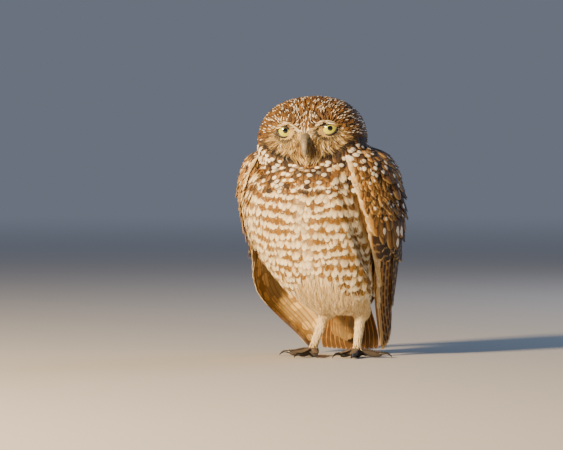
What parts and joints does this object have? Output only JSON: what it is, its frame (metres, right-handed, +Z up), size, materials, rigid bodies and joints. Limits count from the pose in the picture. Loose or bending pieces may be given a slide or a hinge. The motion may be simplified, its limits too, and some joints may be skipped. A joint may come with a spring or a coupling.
{
  "type": "burrowing owl figure",
  "caption": "Life-size model of a small long-legged ground owl standing upright with folded wings, barred breast, flat face and yellow eyes.",
  "frame": {"origin": "on the floor, under the middle of the bird's whole bounding box", "axes": "+Z up, the owl faces -Y and its left side is towards +X"},
  "size_m": [0.153, 0.1344, 0.2241],
  "materials": {
    "breast": "soft cream feathers with rufous-brown bars",
    "crown": "short rufous-brown feathers with pale streaks",
    "wing": "overlapping brown feathers with white spots and buff bars",
    "tail": "barred buff and brown feathers",
    "down": "short pale downy feathers",
    "foot_skin": "scaly grey-brown skin",
    "claw": "dark smooth horn",
    "bill": "pale grey-horn, slightly glossy",
    "eye": "wet bright yellow iris with a black pupil"
  },
  "bodies": {
    "root": {"torso": "breast", "neck": "breast", "head": "crown", "eye_left": "eye", "eye_right": "eye", "bill_upper": "bill", "bill_lower": "bill", "wing_left": "wing", "wing_right": "wing", "tail": "tail", "thigh_left": "down", "shank_left": "down", "foot_left": "foot_skin", "toe_left_hind": "foot_skin", "claw_left_hind": "claw", "toe_left_inner": "foot_skin", "claw_left_inner": "claw", "toe_left_middle": "foot_skin", "claw_left_middle": "claw", "toe_left_outer": "foot_skin", "claw_left_outer": "claw", "thigh_right": "down", "shank_right": "down", "foot_right": "foot_skin", "toe_right_hind": "foot_skin", "claw_right_hind": "claw", "toe_right_inner": "foot_skin", "claw_right_inner": "claw", "toe_right_middle": "foot_skin", "claw_right_middle": "claw", "toe_right_outer": "foot_skin", "claw_right_outer": "claw"}
  },
  "joints": []
}
